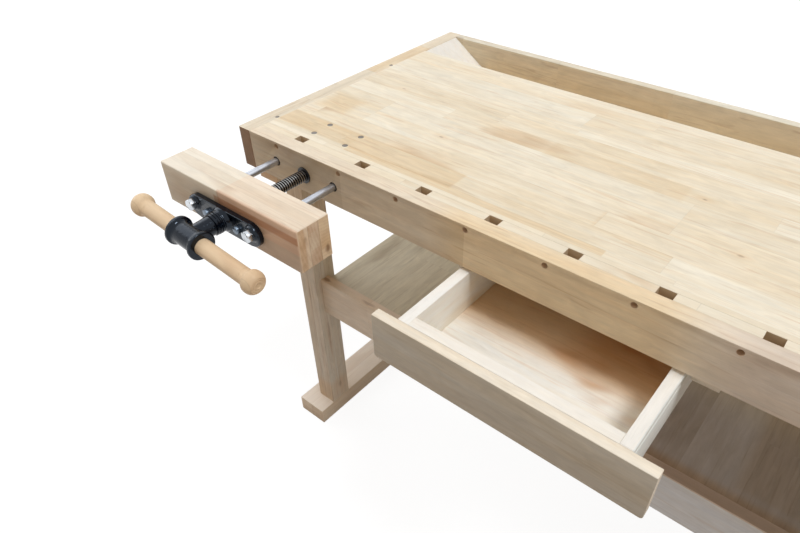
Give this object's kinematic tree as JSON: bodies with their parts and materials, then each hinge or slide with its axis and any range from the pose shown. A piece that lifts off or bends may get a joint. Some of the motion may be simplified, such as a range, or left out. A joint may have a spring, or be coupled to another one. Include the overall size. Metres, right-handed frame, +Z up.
{
  "type": "woodworking bench with vises",
  "caption": "Cabinet maker's wooden workbench with a front vise and an end vise, square dog holes, a tool tray, a drawer on side rails and a shelf between trestle legs.",
  "frame": {"origin": "middle of the footprint of the whole bench, vises and drawer as at rest, at floor level", "axes": "+X along the bench from the front vise's end to the end vise, +Y from the front edge to the tool tray, +Z up"},
  "size_m": [1.639, 0.947, 0.86],
  "materials": {
    "top_wood": "satin oiled hardwood",
    "frame_wood": "satin oiled hardwood",
    "drawer_wood": "satin hardwood",
    "plywood": "plywood",
    "handle_wood": "polished beech",
    "black_casting": "gloss black enamel",
    "bright_steel": "bright ground",
    "screw_steel": "oiled, rolled thread",
    "zinc_steel": "zinc plated",
    "black_plastic": "gloss black"
  },
  "bodies": {
    "bench": {"apron_back": "top_wood", "apron_face": "top_wood", "back_rail": "top_wood", "dog_hole_blocks": "top_wood", "drawer_left_rail": "frame_wood", "drawer_right_rail": "frame_wood", "end_cap_screws": "zinc_steel", "front_nut_block": "black_casting", "front_nut_block_bolts": "zinc_steel", "front_screw_bush": "black_plastic", "front_stretcher": "frame_wood", "left_bearer": "frame_wood", "left_end_cap": "top_wood", "left_foot": "frame_wood", "left_front_leg": "frame_wood", "left_rear_leg": "frame_wood", "left_tray_ramp": "top_wood", "rear_stretcher": "frame_wood", "right_bearer": "frame_wood", "right_end_cap": "top_wood", "right_foot": "frame_wood", "right_front_leg": "frame_wood", "right_rear_leg": "frame_wood", "right_tray_ramp": "top_wood", "shelf": "plywood", "stretcher_bolts": "zinc_steel", "tail_nut_block": "black_casting", "tail_nut_block_bolts": "zinc_steel", "tail_screw_bush": "black_plastic", "top_fixing_screws": "zinc_steel", "top_slab": "top_wood", "tray_floor": "plywood", "tray_front_rail": "frame_wood"},
    "front_jaw": {"front_guide_rods": "bright_steel", "front_jaw": "frame_wood", "front_jaw_bolts": "bright_steel", "front_jaw_plate": "black_casting", "front_rod_bolts": "bright_steel"},
    "front_screw": {"front_hub": "black_casting", "front_screw": "screw_steel", "front_screw_collars": "black_casting"},
    "front_bar": {"front_bar": "handle_wood", "front_bar_knobs": "handle_wood"},
    "drawer": {"drawer_back": "drawer_wood", "drawer_bottom": "plywood", "drawer_box_front": "drawer_wood", "drawer_front": "drawer_wood", "drawer_front_screws": "zinc_steel", "drawer_left_side": "drawer_wood", "drawer_right_side": "drawer_wood"},
    "tail_jaw": {"tail_guide_rods": "bright_steel", "tail_jaw": "frame_wood", "tail_jaw_bolts": "bright_steel", "tail_jaw_plate": "black_casting", "tail_rod_bolts": "bright_steel"},
    "tail_screw": {"tail_hub": "black_casting", "tail_screw": "screw_steel", "tail_screw_collars": "black_casting"},
    "tail_bar": {"tail_bar": "handle_wood", "tail_bar_knobs": "handle_wood"}
  },
  "joints": [
    {"name": "front_jaw_slide", "type": "slide", "parent": "bench", "child": "front_jaw", "axis": [0, -1, 0], "range_m": [-0.1045, 0.075]},
    {"name": "front_screw_turn", "type": "hinge", "parent": "front_jaw", "child": "front_screw", "pos_m": [-0.6435, -0.3045, 0.816], "axis": [0, -1, 0], "range_deg": [-7518, 5394]},
    {"name": "front_bar_slide", "type": "slide", "parent": "front_screw", "child": "front_bar", "axis": [0.9962, 0, -0.0872], "range_m": [-0.1005, 0.0755]},
    {"name": "drawer_slide", "type": "slide", "parent": "bench", "child": "drawer", "axis": [0, -1, 0], "range_m": [-0.21, 0.09]},
    {"name": "tail_jaw_slide", "type": "slide", "parent": "bench", "child": "tail_jaw", "axis": [1, 0, 0], "range_m": [-0.0395, 0.11]},
    {"name": "tail_screw_turn", "type": "hinge", "parent": "tail_jaw", "child": "tail_screw", "pos_m": [0.6505, -0.0235, 0.816], "axis": [1, 0, 0], "range_deg": [-2838, 7914]},
    {"name": "tail_bar_slide", "type": "slide", "parent": "tail_screw", "child": "tail_bar", "axis": [0, 0.9945, -0.1045], "range_m": [-0.094, 0.082]}
  ],
  "couplings": [
    {"joint": "front_jaw_slide", "follows": "front_screw_turn", "m_per_rad": 0.00079577},
    {"joint": "tail_jaw_slide", "follows": "tail_screw_turn", "m_per_rad": 0.00079577}
  ]
}
